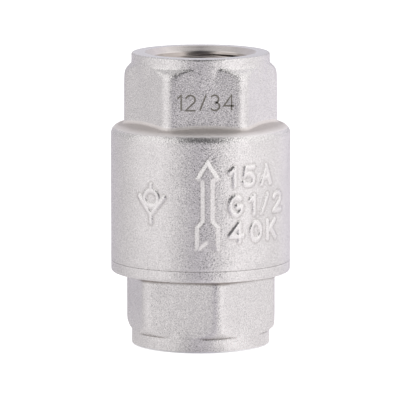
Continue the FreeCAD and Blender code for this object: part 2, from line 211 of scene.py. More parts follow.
class Wiring:
    """Short calls that add and join the nodes of a tree."""

    def __init__(self, tree):
        self.tree = tree

    def add(self, kind, **settings):
        node = self.tree.nodes.new(kind)
        for key, value in settings.items():
            setattr(node, key, value)
        return node

    def feed(self, socket, value):
        """Links an input to another node's output, or sets its value."""
        if hasattr(value, "is_linked"):
            self.tree.links.new(value, socket)
        else:
            socket.default_value = value

    def math(self, operation, a, b=0.0):
        node = self.add("ShaderNodeMath", operation=operation)
        self.feed(node.inputs[0], a)
        self.feed(node.inputs[1], b)
        return node.outputs[0]

    def ramp(self, fac, stops, turns=False):
        """A colour ramp whose stops are (place, colour or grey). Places are degrees where turns is true."""
        node = self.add("ShaderNodeValToRGB")
        self.feed(node.inputs[0], fac)
        elements = node.color_ramp.elements
        elements.remove(elements[-1])
        for k, (place, colour) in enumerate(stops):
            element = elements[0] if k == 0 else elements.new(1.0)
            element.position = 0.5 + place / 360 if turns else place
            element.color = (*colour, 1) if isinstance(colour, tuple) else (colour, colour, colour, 1)
        return node.outputs[0]

    def bearing(self, place):
        """How far round the valve a point or direction lies, 0.5 at the front, and its coordinates."""
        split = self.add("ShaderNodeSeparateXYZ")
        self.feed(split.inputs[0], place)
        x, y, z = split.outputs
        turn = self.math("ARCTAN2", x, self.math("MULTIPLY", y, -1.0))
        return self.math("ADD", self.math("DIVIDE", turn, 2 * math.pi), 0.5), (x, y, z)

    def around(self, bearing, level):
        """The colour of the room at a bearing, near the valve or far from it."""
        return self.ramp(bearing, [(row[0], tuple(row[level] * t for t in row[3])) for row in ROOM], True)

    def blend(self, kind, a, b, fac=1.0):
        node = self.add("ShaderNodeMix", data_type="RGBA", blend_type=kind)
        self.feed(node.inputs["Factor"], fac)
        self.feed(node.inputs["A"], a)
        self.feed(node.inputs["B"], b)
        return node.outputs["Result"]

    def pick(self, straight, bounced):
        """The shader seen straight on by the camera, and the one that the valve reflects."""
        node = self.add("ShaderNodeMixShader")
        self.feed(node.inputs[0], self.add("ShaderNodeLightPath").outputs["Is Camera Ray"])
        self.feed(node.inputs[1], bounced)
        self.feed(node.inputs[2], straight)
        return node.outputs[0]


def floor():
    """A plain pale floor. The valve reflects it as bright as the walls above it."""
    paint = bpy.data.materials.new("floor")
    paint.use_nodes = True
    tree = paint.node_tree
    wiring = Wiring(tree)
    shader = tree.nodes["Principled BSDF"]
    shader.inputs["Base Color"].default_value = (0.94, 0.94, 0.94, 1)
    shader.inputs["Roughness"].default_value = 0.9
    shader.inputs["Specular IOR Level"].default_value = 0.1
    shader.inputs["Emission Color"].default_value = (1, 1, 1, 1)
    shader.inputs["Emission Strength"].default_value = 0.7
    place = wiring.add("ShaderNodeTexCoord").outputs["Object"]
    bearing, _ = wiring.bearing(place)
    length = wiring.add("ShaderNodeVectorMath", operation="LENGTH")
    wiring.feed(length.inputs[0], place)
    away = length.outputs["Value"]
    further = wiring.ramp(away, [(0.12, 0.0), (0.4, 1.0)])
    tone = wiring.blend("MIX", wiring.around(bearing, NEAR), wiring.around(bearing, FAR), further)
    tone = wiring.blend("MULTIPLY", tone, wiring.ramp(away, FLOOR_SHADE))
    bounced = wiring.add("ShaderNodeBsdfPrincipled")
    bounced.inputs["Roughness"].default_value = 1.0
    bounced.inputs["Specular IOR Level"].default_value = 0.0
    bounced.inputs["Emission Strength"].default_value = 0.4
    wiring.feed(bounced.inputs["Base Color"], tone)
    wiring.feed(bounced.inputs["Emission Color"], tone)
    wiring.feed(tree.nodes["Material Output"].inputs[0], wiring.pick(shader.outputs[0], bounced.outputs[0]))
    half = 3000
    corners = [(-half, -half, 0), (half, -half, 0), (half, half, 0), (-half, half, 0)]
    made = mesh_piece("floor", corners, [(0, 1, 2, 3)], [paint])


def room():
    """White to look at, and in reflections a pale tent with a dark opening from the camera's height up."""
    world = bpy.data.worlds.new("room")
    bpy.context.scene.world = world
    world.use_nodes = True
    world.node_tree.nodes.clear()
    wiring = Wiring(world.node_tree)
    bearing, (x, y, z) = wiring.bearing(wiring.add("ShaderNodeTexCoord").outputs["Generated"])
    side = wiring.ramp(wiring.math("ABSOLUTE", x), OPENING_SIDE)
    top = wiring.ramp(wiring.math("MULTIPLY", y, -1.0), OPENING_TOP)
    opening = wiring.blend("LIGHTEN", wiring.ramp(z, OPENING_SILL), wiring.blend("LIGHTEN", side, top))
    lit = wiring.add("ShaderNodeBackground")
    wiring.feed(lit.inputs[0], wiring.blend("MULTIPLY", wiring.around(bearing, FAR), opening))
    white = wiring.add("ShaderNodeBackground")
    white.inputs[0].default_value = (1, 1, 1, 1)
    out = wiring.add("ShaderNodeOutputWorld")
    wiring.feed(out.inputs[0], wiring.pick(white.outputs[0], lit.outputs[0]))


# ---------------------------------------------------------------- mesh tools
def columns(count):
    """Angles evenly round the valve, starting at the front."""
    return np.arange(count) * 2 * math.pi / count


def smoothstep(low, high, x):
    """An eased step from 0 at low to 1 at high."""
    t = np.clip((x - low) / (high - low), 0, 1)
    return t * t * (3 - 2 * t)


def mesh_piece(name, points, faces, materials):
    """A mesh object whose points are given in millimetres."""
    data = bpy.data.meshes.new(name)
    data.from_pydata((np.array(points) * MM).tolist(), [], faces)
    for material in materials:
        data.materials.append(material)
    return placed(name, data)


def smooth(data, sharp):
    """Shades a mesh smooth, apart from edges that turn by more than sharp degrees."""
    data.polygons.foreach_set("use_smooth", [True] * len(data.polygons))
    data.set_sharp_from_angle(angle=math.radians(sharp))


def ring(angles, r, z, finish=CAST, wear_and_painted_light=0.0):
    """One loop of a lathe mesh, with the finish of the strip that follows it.

    The last value shifts the colour: down to -1 is painted shade in creases, corners and the seam, and up to
    1 is wear on the raised marks and painted highlight on the shoulder and the fillet.
    """
    r, z, wear_and_painted_light = (np.broadcast_to(np.asarray(value, float), angles.shape) for value in (r, z, wear_and_painted_light))
    points = np.stack([r * np.sin(angles), -r * np.cos(angles), z], axis=1)
    return {"angles": angles, "points": points, "finish": finish, "wear_and_painted_light": wear_and_painted_light}


def strip(low, high, at_low, at_high):
    """The faces between two loops, wound so that going up on the outside faces outwards."""
    a, b = low["angles"], high["angles"]
    if len(a) == len(b) and np.allclose(a, b):
        n = len(a)
        return [(at_low + i, at_low + (i + 1) % n, at_high + (i + 1) % n, at_high + i) for i in range(n)]
    ends_a, ends_b = np.append(a[1:], 2 * math.pi), np.append(b[1:], 2 * math.pi)
    faces, i, j = [], 0, 0
    while i < len(a) or j < len(b):
        if j >= len(b) or (i < len(a) and ends_a[i] <= ends_b[j]):
            faces.append((at_low + i, at_low + (i + 1) % len(a), at_high + j % len(b)))
            i += 1
        else:
            faces.append((at_low + i % len(a), at_high + (j + 1) % len(b), at_high + j))
            j += 1
    return faces


def lathe(name, rings, materials):
    """A closed mesh through loops that run up the outside and back down the bore."""
    starts = np.cumsum([0] + [len(r["points"]) for r in rings])
    faces, finishes = [], []
    for k, low in enumerate(rings):
        after = (k + 1) % len(rings)
        made = strip(low, rings[after], int(starts[k]), int(starts[after]))
        faces += made
        finishes += [low["finish"]] * len(made)
    piece = mesh_piece(name, np.concatenate([r["points"] for r in rings]), faces, materials)
    piece.data.polygons.foreach_set("material_index", finishes)
    smooth(piece.data, SHARP)
    # the loops' colour shift, from painted shade up to wear and painted highlight, kept on the points
    wear_and_painted_light = piece.data.attributes.new("wear_and_painted_light", "FLOAT", "POINT")
    wear_and_painted_light.data.foreach_set("value", np.concatenate([r["wear_and_painted_light"] for r in rings]).astype(np.float32))
    return piece


def spaced(start, stop, step):
    """Even values from start to stop, both included, no further apart than step."""
    return np.linspace(start, stop, max(2, int(math.ceil(abs(stop - start) / step)) + 1))


# ---------------------------------------------------------------- shapes of the castings
def hexagon_radius(angles, turn):
    """Radius of a hexagon with round corners, one of whose flats faces the angle turn."""
    sixth = math.pi / 3
    off = np.abs((angles - turn + sixth / 2) % sixth - sixth / 2)
    centre = (HEX_APOTHEM - HEX_CORNER_R) / math.cos(sixth / 2)
    flat = HEX_APOTHEM / np.cos(off)
    lean = sixth / 2 - off
    corner = centre * np.cos(lean) + np.sqrt(np.maximum(HEX_CORNER_R**2 - (centre * np.sin(lean)) ** 2, 0))
    tangent = math.atan((HEX_APOTHEM - HEX_CORNER_R) * math.tan(sixth / 2) / HEX_APOTHEM)
    return np.where(off < tangent, flat, corner)


def hex_surface(angles, depth, turn, end):
    """Radius of a hexagonal end at a depth below its port face, and the painted shade in the crease under
    its collar.
    """
    proud = hexagon_radius(angles, turn) - COLLAR_R
    below = depth - end["collar"]
    # a turn ends more sharply on the flats than at the corners
    blend = end["blend"] * (2.5 - 1.5 * smoothstep(0.3, 1.1, proud))
    recess = end["recess"] * (1 - smoothstep(-0.12, 0.15, proud))
    length = end["lean"] * np.hypot(proud, end["soft"]) + recess
    reach = 0.5 * (below + np.hypot(below, end["hollow"])) / length
    step = proud * reach / (1 + reach**blend) ** (1 / blend)
    # painted shade along the crease under the collar, where the corners stand proud
    painted_shade = (end["crease"] > 0) * math.exp(-((below / 0.13) ** 2)) * smoothstep(0.1, 0.8, proud)
    return COLLAR_R + step - end["crease"] * painted_shade, -0.7 * painted_shade


def thread_depth(angles, z, thread, start):
    """How far into the wall a right-hand thread reaches, from 0 on its crest to 1 at its root."""
    middle = start + thread["pitch"] * angles / (2 * math.pi)
    off = np.abs((z - middle + thread["pitch"] / 2) % thread["pitch"] - thread["pitch"] / 2)
    flank = np.clip((thread["half_wall"] - off) / (thread["half_wall"] - thread["half_root"]), 0, 1)
    return 0.6 * flank + 0.4 * smoothstep(0, 1, flank)


def thread_radius(angles, z, thread, start):
    """Radius of a threaded wall, inside a port or outside a spigot."""
    reach = thread_depth(angles, z, thread, start)
    return thread["crest"] + (thread["root"] - thread["crest"]) * reach


def port_rings(face, way, start):
    """A port's bore from its mouth to its undercut. way is -1 for the outlet and 1 for the inlet."""
    angles = columns(INSIDE)
    edge = 0.2
    rings = []
    for depth in spaced(0, PORT_LENGTH, THREAD_ROW):
        cone = MOUTH_R - min(depth, MOUTH_DEPTH) - LEAD_SLOPE * max(depth - MOUTH_DEPTH, 0)
        cone = max(cone, PORT["crest"])
        z = face + way * depth
        cut = smoothstep(MOUTH_DEPTH + 0.3, MOUTH_DEPTH + 1.8, depth)
        groove = np.maximum(thread_radius(angles, z, PORT, start) - cone, 0)
        rings.append(ring(angles, cone + cut * groove, z, BORED if depth < MOUTH_DEPTH else THREADED))
    end = face + way * PORT_LENGTH
    rings.append(ring(angles, PORT_RELIEF_R, end + way * 0.02, BORED))
    rings.append(ring(angles, PORT_RELIEF_R, end + way * (PORT_RELIEF_LENGTH - edge), BORED))
    rings.append(ring(angles, PORT_RELIEF_R - edge, end + way * PORT_RELIEF_LENGTH, BORED))
    return rings


def wander(angles, z):
    """How far a cast wall falls short of its size, from 0 to UNEVEN."""
    waves = (
        np.sin(5 * angles + 0.35 * z + 1.0)
        + np.sin(-9 * angles + 0.62 * z + 4.0)
        + np.sin(14 * angles - 0.21 * z + 2.0)
        + np.sin(3 * angles - 0.9 * z + 0.5)
    )
    return UNEVEN * (0.5 + waves / 8)


# ---------------------------------------------------------------- raised marks on the barrel
def arc(x, y, rx, ry, start, stop, steps=14):
    """Points of an elliptical arc, with angles in degrees."""
    turns = np.radians(np.linspace(start, stop, steps))
    return [(x + rx * math.cos(t), y + ry * math.sin(t)) for t in turns]


# strokes of each sign, one unit high, from its lower left corner
SIGNS = {
    "0": [arc(0.30, 0.5, 0.30, 0.5, 0, 360, 28)],
    "1": [[(0.0, 0.78), (0.24, 1.0), (0.24, 0.0)]],
    "2": [arc(0.31, 0.70, 0.30, 0.30, 165, -35) + [(0.0, 0.0), (0.64, 0.0)]],
    "3": [arc(0.27, 0.74, 0.26, 0.26, 150, -75) + arc(0.29, 0.27, 0.30, 0.27, 75, -150)],
    "4": [[(0.50, 0.0), (0.50, 1.0), (0.0, 0.30), (0.68, 0.30)]],
    "5": [[(0.58, 1.0), (0.12, 1.0), (0.06, 0.54)] + arc(0.29, 0.33, 0.31, 0.33, 120, -150)],
    "/": [[(0.0, 0.0), (0.40, 1.0)]],
    "G": [arc(0.33, 0.5, 0.33, 0.5, 50, 325) + [(0.62, 0.46), (0.38, 0.46)]],
    "K": [[(0.0, 0.0), (0.0, 1.0)], [(0.58, 1.0), (0.03, 0.42)], [(0.21, 0.60), (0.62, 0.0)]],
    "A": [[(0.0, 0.0), (0.32, 1.0), (0.64, 0.0)], [(0.12, 0.34), (0.52, 0.34)]],
}
SIGN_HEIGHT = 3.45
SIGN_WIDTH = 3.9
SIGN_GAP = 0.8
STROKE_HALF = 0.58
STROKE_FLANK = 0.4
STROKE_HEIGHT = 0.2
# each row of the ratings, and the height of its middle
RATINGS = [("15A", 35.3), ("G1/2", 29.65), ("40K", 24.4)]
RATING_START = math.radians(12.6)


def rating_strokes():
    """The rows of generic ratings right of the arrow, as strokes on the unrolled barrel."""
    strokes = []
    for text, middle in RATINGS:
        x = BARREL_R * RATING_START + STROKE_HALF
        for sign in text:
            for part in SIGNS[sign]:
                strokes.append([(x + SIGN_WIDTH * u, middle + (v - 0.5) * SIGN_HEIGHT) for u, v in part])
            x += SIGN_WIDTH * max(u for part in SIGNS[sign] for u, _ in part) + 2 * STROKE_HALF + SIGN_GAP
    return strokes


def symbol_strokes():
    """The drawing sign for a check valve left of the arrow: a ball in a V, on its line."""
    x, low, ball_r, v_half = -BARREL_R * math.radians(37.5), 26.2, 1.55, 2.9
    ball = arc(x, low + 4.75, ball_r, ball_r, 0, 360, 32)
    seat = [(x - v_half, low + 5.0), (x, low + 1.5), (x + v_half, low + 5.0)]
    inlet = [(x, low), (x, low + 1.5)]
    outlet = [(x, low + 4.75 + ball_r), (x, low + 7.3)]
    return [ball, seat, inlet, outlet]


def distance_to_strokes(x, z, strokes):
    """Distance from each point of the unrolled barrel to the nearest stroke."""
    nearest = np.full(x.shape, 1e9)
    for stroke in strokes:
        for (ax, az), (bx, bz) in zip(stroke, stroke[1:]):
            ux, uz = bx - ax, bz - az
            length = max(ux * ux + uz * uz, 1e-9)
            t = np.clip(((x - ax) * ux + (z - az) * uz) / length, 0, 1)
            nearest = np.minimum(nearest, np.hypot(x - ax - t * ux, z - az - t * uz))
    return nearest


# half of the flow arrow's outline, from its tip: across and up from the inlet's face
HALF_ARROW = [
    (0, 39.1),
    (2.42, 35.0),
    (1.30, 34.5),
    (1.30, 26.9),
    (2.38, 25.7),
    (2.38, 20.95),
    (1.6, 20.95),
    (0, 22.3),
]
ARROW = HALF_ARROW + [(-x, h) for x, h in reversed(HALF_ARROW[1:-1])]
ARROW_BEVEL = 0.80
# how far the bevel's foot spreads past the outline
ARROW_SPREAD = 0.1
MARKS = rating_strokes() + symbol_strokes()


def distance_inside(x, z, outline):
    """Distance in from an outline, below zero outside it."""
    edge = distance_to_strokes(x, z, [outline + outline[:1]])
    inside = np.zeros(x.shape, bool)
    for (ax, az), (bx, bz) in zip(outline, outline[1:] + outline[:1]):
        inside ^= ((az > z) != (bz > z)) & (x < (bx - ax) * (z - az) / (bz - az + 1e-12) + ax)
    return np.where(inside, edge, -edge)


def bevel(inside, width):
    """A ramp from 0 at an outline to 1 at width inside it, with both its ends eased."""
    t = np.clip(inside / width, 0, 1)
    return 0.5 * t + 0.5 * t * t * (3 - 2 * t)


def foot_shade(gap, width):
    """Painted shade beside a raised mark: 1 at its edge, fading out over width away from it."""
    return np.where(gap > 0, np.exp(-((gap / width) ** 2)), 0)


def relief(angles, z):
    """Height of the raised marks above the barrel, and the colour shift there: wear lightens the strokes'
    tops, painted shade darkens round the marks' feet and along the arrow's bevel.
    """
    front = (angles + math.pi) % (2 * math.pi) - math.pi
    back = (angles % (2 * math.pi)) - math.pi
    height, wear_and_painted_light = np.zeros(angles.shape), np.zeros(angles.shape)
    z = np.broadcast_to(z, angles.shape)
    for turn in (front, back):
        x = BARREL_R * turn
        near = np.abs(x) < 4
        inside = distance_inside(x[near], z[near], ARROW)
        lift = bevel(inside + ARROW_SPREAD, ARROW_BEVEL + ARROW_SPREAD)
        height[near] = np.maximum(height[near], RELIEF * lift)
        # painted shade: a darker line along the bevel's top that tones down its highlight, and a band round
        # the arrow's foot
        wear_and_painted_light[near] -= 0.22 * np.exp(-(((inside - ARROW_BEVEL) / 0.14) ** 2)) + 0.2 * foot_shade(-inside, 0.35)
    # the ratings and the symbol lie in these two spans
    near = (np.abs(front) > math.radians(8)) & (np.abs(front) < math.radians(60))
    away = distance_to_strokes(BARREL_R * front[near], z[near], MARKS)
    lift = bevel(STROKE_HALF - away, STROKE_FLANK)
    height[near] = np.maximum(height[near], STROKE_HEIGHT * lift)
    # wear lightens the strokes' tops, and painted shade darkens round their feet
    wear_and_painted_light[near] += 0.42 * lift - 0.33 * foot_shade(away - STROKE_HALF + 0.05, 0.3)
    return height, wear_and_painted_light


def marked_columns():
    """Angles that are close together under the raised marks and further apart elsewhere.

    The spans, in degrees: ratings, plain, the arrow at the back, plain, symbol, plain, half the front arrow.
    """
    fine, coarse = 0.4, 2.5
    spans = [
        (0, 59, fine),
        (59, 170, coarse),
        (170, 190, fine),
        (190, 309, coarse),
        (309, 336, fine),
        (336, 350, coarse),
        (350, 360, fine),
    ]
    return np.radians(np.concatenate([spaced(low, high, step)[:-1] for low, high, step in spans]))


# ---------------------------------------------------------------- castings
def barrel_rings():
    """The barrel's wall, from the seam up to the shoulder's round."""
    plain, marked = columns(OUTSIDE), marked_columns()
    low_marks, high_marks, mark_row = 20.2, 39.8, 0.155

    def wall(angles, z):
        return BARREL_R - wander(angles, z)

    # the seam's small chamfer is darkened as painted shade
    rings = [
        ring(plain, wall(plain, SEAM) - 0.1, SEAM, CAST, -0.4),
        ring(plain, wall(plain, SEAM) - 0.02, SEAM + 0.06, CAST, -0.2),
        ring(plain, wall(plain, SEAM), SEAM + 0.14),
    ]
    rings += [ring(plain, wall(plain, z), z) for z in spaced(SEAM + 0.9, low_marks - 0.4, 0.9)]
    for z in spaced(low_marks, high_marks, mark_row):
        height, wear_and_painted_light = relief(marked, z)
        rings.append(ring(marked, wall(marked, z) + height, z, CAST, wear_and_painted_light))
    rings += [ring(plain, wall(plain, z), z) for z in spaced(high_marks + 0.4, SHOULDER_START, 0.65)]
    return rings


def shoulder_rings():
    """The round at the top of the barrel, the sloping shoulder and the fillet up into the hexagon."""
    angles = columns(OUTSIDE)
    rings = []
    base = BARREL_R - wander(angles, SHOULDER_START)
    slope = math.radians(90 - SHOULDER_SLOPE)
    ledge_from, painted_highlight_at, painted_highlight_width = np.radians((44, 50, 14))
    for turn in np.linspace(math.radians(8), slope, 10):
        r = base - SHOULDER_ROUND * (1 - math.cos(turn))
        z = SHOULDER_START + SHOULDER_ROUND * math.sin(turn)
        # a painted highlight lightens a band of the round near a turn of 50 degrees
        wear_and_painted_light = 0.6 * math.exp(-(((turn - painted_highlight_at) / painted_highlight_width) ** 2))
        rings.append(ring(angles, r, z, LEDGE if turn > ledge_from else CAST, wear_and_painted_light))
    wall = hexagon_radius(angles, 0)
    edge = base - SHOULDER_ROUND * (1 - math.cos(slope))
    edge_z = SHOULDER_START + SHOULDER_ROUND * math.sin(slope)
    foot = np.minimum(wall + HEX_FILLET, edge - 0.1)
    foot_z = edge_z + math.tan(math.radians(SHOULDER_SLOPE)) * (edge - foot)
    # the ledge, darkened towards the hexagon's foot as painted shade
    for part in (0.06, 0.2, 0.45, 0.75):
        r = edge + part * (foot - edge)
        z = edge_z + part * (foot_z - edge_z)
        rings.append(ring(angles, r, z, LEDGE, -0.25 * smoothstep(0.0, 0.4, part)))
    # the fillet into the hexagon: painted shade at its foot, turning to a painted highlight at its top
    for turn in np.radians(spaced(0, 90, 15)):
        r = wall + (foot - wall) * (1 - math.sin(turn))
        z = foot_z + HEX_FILLET * (1 - math.cos(turn))
        wear_and_painted_light = -0.25 + 0.55 * smoothstep(0.1, 1.0, turn / math.radians(90))
        rings.append(ring(angles, r, z, LEDGE, wear_and_painted_light))
    # the hexagon's wall follows the last loop
    rings[-1]["finish"] = CAST
    return rings


def hex_rings(face, way, turn, flange, end):
    """A hexagon's outside from its port face to its flange, whose depth below that face is flange.

    The rows are closest together where the collar meets the hexagon.
    """
    angles = columns(OUTSIDE)
    rings = []
    collar = end["collar"]
    depths = list(spaced(RIM_ROUND, collar - 0.3, 0.35)) + list(spaced(collar - 0.2, collar + 0.24, 0.04))
    depths += list(spaced(collar + 0.34, collar + 2.4, 0.12)) + list(spaced(collar + 3.0, flange, 1.1))
    for depth in depths:
        z = face + way * depth
        fade = smoothstep(0.4, 1.5, depth) * (1 - smoothstep(flange - 0.8, flange, depth))
        r, wear_and_painted_light = hex_surface(angles, depth, turn, end)
        rings.append(ring(angles, r - fade * wander(angles, z), z, CAST, wear_and_painted_light))
    return rings


def rim_rings(face, way):
    """The round edge of a collar and its turned face, from the outside in."""
    angles = columns(OUTSIDE)
    rings = []
    for turn in np.radians(spaced(0, 90, 30)):
        r = COLLAR_R - RIM_ROUND * (1 - math.cos(turn))
        z = face + way * RIM_ROUND * (1 - math.sin(turn))
        rings.append(ring(angles, r, z, CAST if turn < math.radians(80) else TURNED))
    rings.append(ring(angles, (COLLAR_R + MOUTH_R) / 2, face, TURNED))
    rings.append(ring(angles, MOUTH_R + 0.12, face, TURNED))
    return rings


def casting_body(materials):
    """The valve body: barrel, shoulder, hexagon and port, then the chamber and the joint's thread."""
    bore = columns(INSIDE)
    rings = barrel_rings() + shoulder_rings()
    rings += list(reversed(hex_rings(TOP, -1, 0, TOP - HEX_FOOT - HEX_FILLET, OUTLET_END)))
    rings += rim_rings(TOP, -1)
    rings += port_rings(TOP, -1, OUTLET_THREAD_START)
    clip_low, clip_high = box_mm("guide_circlip")
    port_floor = TOP - PORT_LENGTH - PORT_RELIEF_LENGTH
    gasket_top = box_mm("cap_gasket")[1][2]
    thread_top = 25.4
    ledge_z = gasket_top + 14.1
    ledge_r, chamber_r, groove_r, entry_r = 9.4, 11.8, 12.5, 14.25
    edge, slack = 0.2, 0.05
    # down the inside: the guide's ledge, the chamber, the circlip's groove and the gasket's shoulder
    steps = [
        (ledge_r + edge, port_floor),
        (ledge_r, port_floor - edge),
        (ledge_r, ledge_z + edge),
        (ledge_r + edge, ledge_z),
        (chamber_r, ledge_z),
        (chamber_r, clip_high[2] + slack),
        (groove_r, clip_high[2] + slack),
        (groove_r, clip_low[2] - slack),
        (chamber_r, clip_low[2] - slack),
        (chamber_r, gasket_top + edge),
        (chamber_r + edge, gasket_top),
        (entry_r, gasket_top),
        (entry_r, thread_top + 0.02),
    ]
    rings += [ring(bore, r, z, TURNED) for r, z in steps]
    for z in spaced(thread_top, SEAM + 0.02, THREAD_ROW):
        entry = max(BODY_THREAD["crest"], entry_r - (z - SEAM))
        r = np.maximum(entry, thread_radius(bore, z, BODY_THREAD, BODY_THREAD_START))
        rings.append(ring(bore, r, z, THREADED))
    rings.append(ring(bore, entry_r + 0.05, SEAM, TURNED))
    return lathe("body_casting", rings, materials)


def casting_cap(materials):
    """The inlet cap: port face, hexagon and flange, then the threaded spigot, the seat and the port."""
    angles, bore = columns(OUTSIDE), columns(INSIDE)
    rings = list(reversed(rim_rings(0, 1)))
    for made in rings:
        made["finish"] = TURNED
    rings[-1]["finish"] = CAST
    fillet, corner = 0.45, 0.55
    wall_top = FLANGE_BOTTOM - 0.35
    rings += hex_rings(0, 1, CAP_HEX_TURN, wall_top - 1.1, INLET_END)
    wall = hexagon_radius(angles, CAP_HEX_TURN)
    # painted shade in the corner under the flange, down the wall and round the fillet
    for drop in (0.9, 0.75, 0.6, 0.5, 0.4, 0.3, 0.2):
        wear_and_painted_light = -0.9 * (1 - smoothstep(0.25, 0.85, drop))
        rings.append(ring(angles, wall - 0.01, wall_top - drop, CAST, wear_and_painted_light))
    for turn in np.radians(spaced(20, 90, 17.5)):
        r = wall + fillet * (1 - math.cos(turn))
        rings.append(ring(angles, r, FLANGE_BOTTOM - fillet * (1 - math.sin(turn)), CAST, -0.9))
    outer = BARREL_R - wander(angles, FLANGE_BOTTOM)
    rings.append(ring(angles, outer - 1.2, FLANGE_BOTTOM))
    for turn in np.radians(spaced(0, 90, 15)):
        r = outer - corner * (1 - math.sin(turn))
        rings.append(ring(angles, r, FLANGE_BOTTOM + corner * (1 - math.cos(turn))))
    rings += [ring(angles, outer, z) for z in spaced(FLANGE_BOTTOM + 0.9, SEAM - 0.05, 0.5)]
    rings.append(ring(angles, outer - 0.06, SEAM, TURNED))
    pilot, edge = 12.95, 0.1
    rings.append(ring(bore, pilot + edge, SEAM, TURNED))
    rings.append(ring(bore, pilot, SEAM + edge, TURNED))
    low, high = SEAM + 0.9, SEAM + 7.8
    for z in spaced(low, high, THREAD_ROW):
        envelope = min(pilot + max(z - low, 0), pilot + max(high - z, 0), CAP_THREAD["crest"])
        r = np.minimum(envelope, thread_radius(bore, z, CAP_THREAD, CAP_THREAD_START))
        rings.append(ring(bore, np.maximum(r, pilot), z, TURNED))
    throat_r, lip_r, lip_edge, moat_r, moat = 7.5, 8.7, 0.08, 11.0, 0.6
    # inwards and down: the spigot's end, the raised lip of the seat, the throat and the cone to the port
    steps = [
        (pilot, SEAT - edge),
        (pilot - edge, SEAT),
        (moat_r, SEAT),
        (moat_r, SEAT - moat),
        (lip_r, SEAT - moat),
        (lip_r, SEAT - lip_edge),
        (lip_r - lip_edge, SEAT),
        (throat_r + 0.2, SEAT),
        (throat_r, SEAT - 0.2),
        (throat_r, 17.4),
        (PORT["crest"], PORT_LENGTH + PORT_RELIEF_LENGTH),
    ]
    rings += [ring(bore, r, z, TURNED) for r, z in steps]
    rings += list(reversed(port_rings(0, 1, INLET_THREAD_START)))
    return lathe("cap_casting", rings, materials)


# ---------------------------------------------------------------- inner pieces
def coil_spring(material):
    """The return spring, with closed and ground ends, as a swept wire."""
    wire_r, mean_r, coils = 0.4, 4.75, 6.0
    low, high = SPRING_LOW[2], SPRING_HIGH[2]
    per_coil, around = 48, 14
    closed = 1.02 * 2 * wire_r
    rise = (high - low) - wire_r - 2 * closed

    def height(turn):
        start = low + wire_r / 2
        if turn <= 1:
            return start + closed * turn
        if turn >= coils - 1:
            return start + closed + rise + closed * (turn - coils + 1)
        return start + closed + rise * (turn - 1) / (coils - 2)

    points, faces = [], []
    steps = int(coils * per_coil)
    for k in range(steps + 1):
        turn = k / per_coil
        a = 2 * math.pi * turn
        out = np.array([math.cos(a), math.sin(a), 0])
        slope = (height(min(turn + 0.01, coils)) - height(max(turn - 0.01, 0))) / 0.02
        along = np.array([-math.sin(a), math.cos(a), slope / (2 * math.pi * mean_r)])
        along /= np.linalg.norm(along)
        up = np.cross(out, along)
        centre = out * mean_r + np.array([0, 0, height(turn)])
        for m in range(around):
            t = 2 * math.pi * m / around
            p = centre + 0.98 * wire_r * (math.cos(t) * out + math.sin(t) * up)
            p[2] = min(max(p[2], low), high)
            points.append(p)
    for k in range(steps):
        for m in range(around):
            a, b = k * around + m, k * around + (m + 1) % around
            faces.append((a, a + around, b + around, b))
    faces.append(tuple(range(around)))
    faces.append(tuple(reversed(range(steps * around, (steps + 1) * around))))
    piece = mesh_piece("spring_wire", points, faces, [material])
    smooth(piece.data, 50)
    return piece


# ---------------------------------------------------------------- the etched batch number
def ribbon(path, half, low, high):
    """Points and faces of a flat band along a path of (x, z) points, with its y from low to high."""
    path = np.array(path)
    steps = np.diff(path, axis=0)
    steps /= np.linalg.norm(steps, axis=1)[:, None]
    ahead = np.vstack([steps, steps[-1]])
    behind = np.vstack([steps[0], steps])
    along = ahead + behind
    along /= np.linalg.norm(along, axis=1)[:, None]
    reach = half / np.maximum((along * ahead).sum(axis=1), 0.5)
    side = np.stack([-along[:, 1], along[:, 0]], axis=1) * reach[:, None]
    left, right = path + side, path - side
    points = []
    for (lx, lz), (rx, rz) in zip(left, right):
        points += [(lx, high, lz), (rx, high, rz), (rx, low, rz), (lx, low, lz)]
    faces = []
    for k in range(len(path) - 1):
        a = 4 * k
        for m in range(4):
            n = (m + 1) % 4
            faces.append((a + m, a + n, a + 4 + n, a + 4 + m))
    last = 4 * (len(path) - 1)
    faces += [(3, 2, 1, 0), (last, last + 1, last + 2, last + 3)]
    return points, faces


def batch_number(material):
    """A small laser-etched number on the front flat of the upper hexagon."""
    text, width, height, middle, half = "12/34", 11.1, 3.0, 49.5, 0.17
    sunk, proud = 0.06, 0.012
    spans = [height * max(x for part in SIGNS[s] for x, _ in part) for s in text]
    gap = (width - sum(spans)) / (len(text) - 1)
    points, faces = [], []
    x = -width / 2
    for sign, span in zip(text, spans):
        for part in SIGNS[sign]:
            path = [(x + u * height, middle + (v - 0.5) * height) for u, v in part]
            made, sides = ribbon(path, half, -HEX_APOTHEM + sunk, -HEX_APOTHEM - proud)
            faces += [tuple(len(points) + i for i in face) for face in sides]
            points += made
        x += span + gap
    return mesh_piece("batch_number", points, faces, [material])


